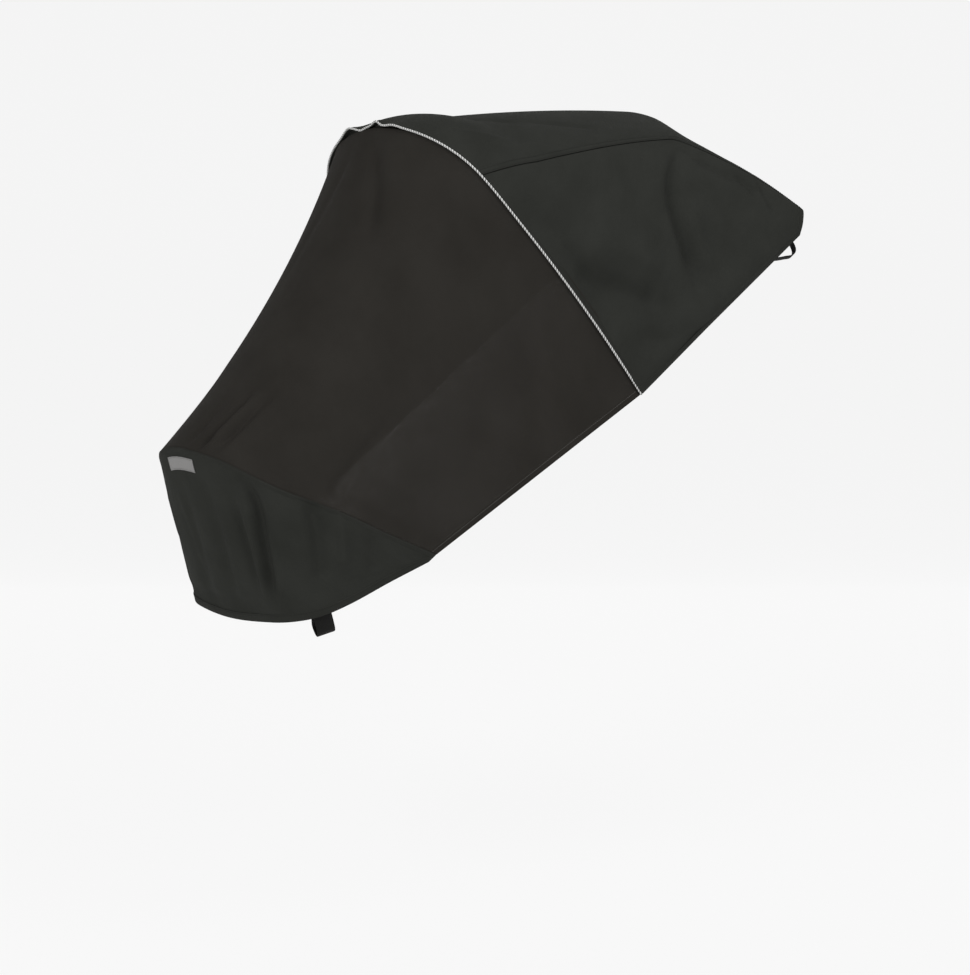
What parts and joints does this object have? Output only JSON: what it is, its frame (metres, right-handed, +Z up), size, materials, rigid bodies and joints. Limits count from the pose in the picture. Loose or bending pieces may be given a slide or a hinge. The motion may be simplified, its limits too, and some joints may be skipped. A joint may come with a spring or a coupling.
{
  "type": "stroller mosquito net",
  "caption": "Fitted stroller cover: cloth hood with piped front edge, fine net over the seat opening and cloth foot panel, held by webbing and elastic loops.",
  "frame": {"origin": "underside of the hood's top, on the middle line, where the rear bow of a stroller holds it up", "axes": "+Z up, -Y towards the foot end, +X towards one side"},
  "size_m": [0.5062, 0.924, 0.7313],
  "materials": {
    "hood_cloth": "matt woven polyester, near black",
    "fine_net": "fine knitted mesh, near black, slightly see-through",
    "black_webbing": "woven webbing",
    "reflective_weave": "pale grey reflective weave"
  },
  "bodies": {
    "root": {"hood_roof": "hood_cloth", "hood_side_left": "hood_cloth", "hood_side_right": "hood_cloth", "net": "fine_net", "foot_panel": "hood_cloth", "piping": "reflective_weave", "front_strap_left": "black_webbing", "front_strap_right": "black_webbing", "rear_loop_left": "black_webbing", "rear_loop_right": "black_webbing", "reflective_patch": "reflective_weave"}
  },
  "joints": []
}
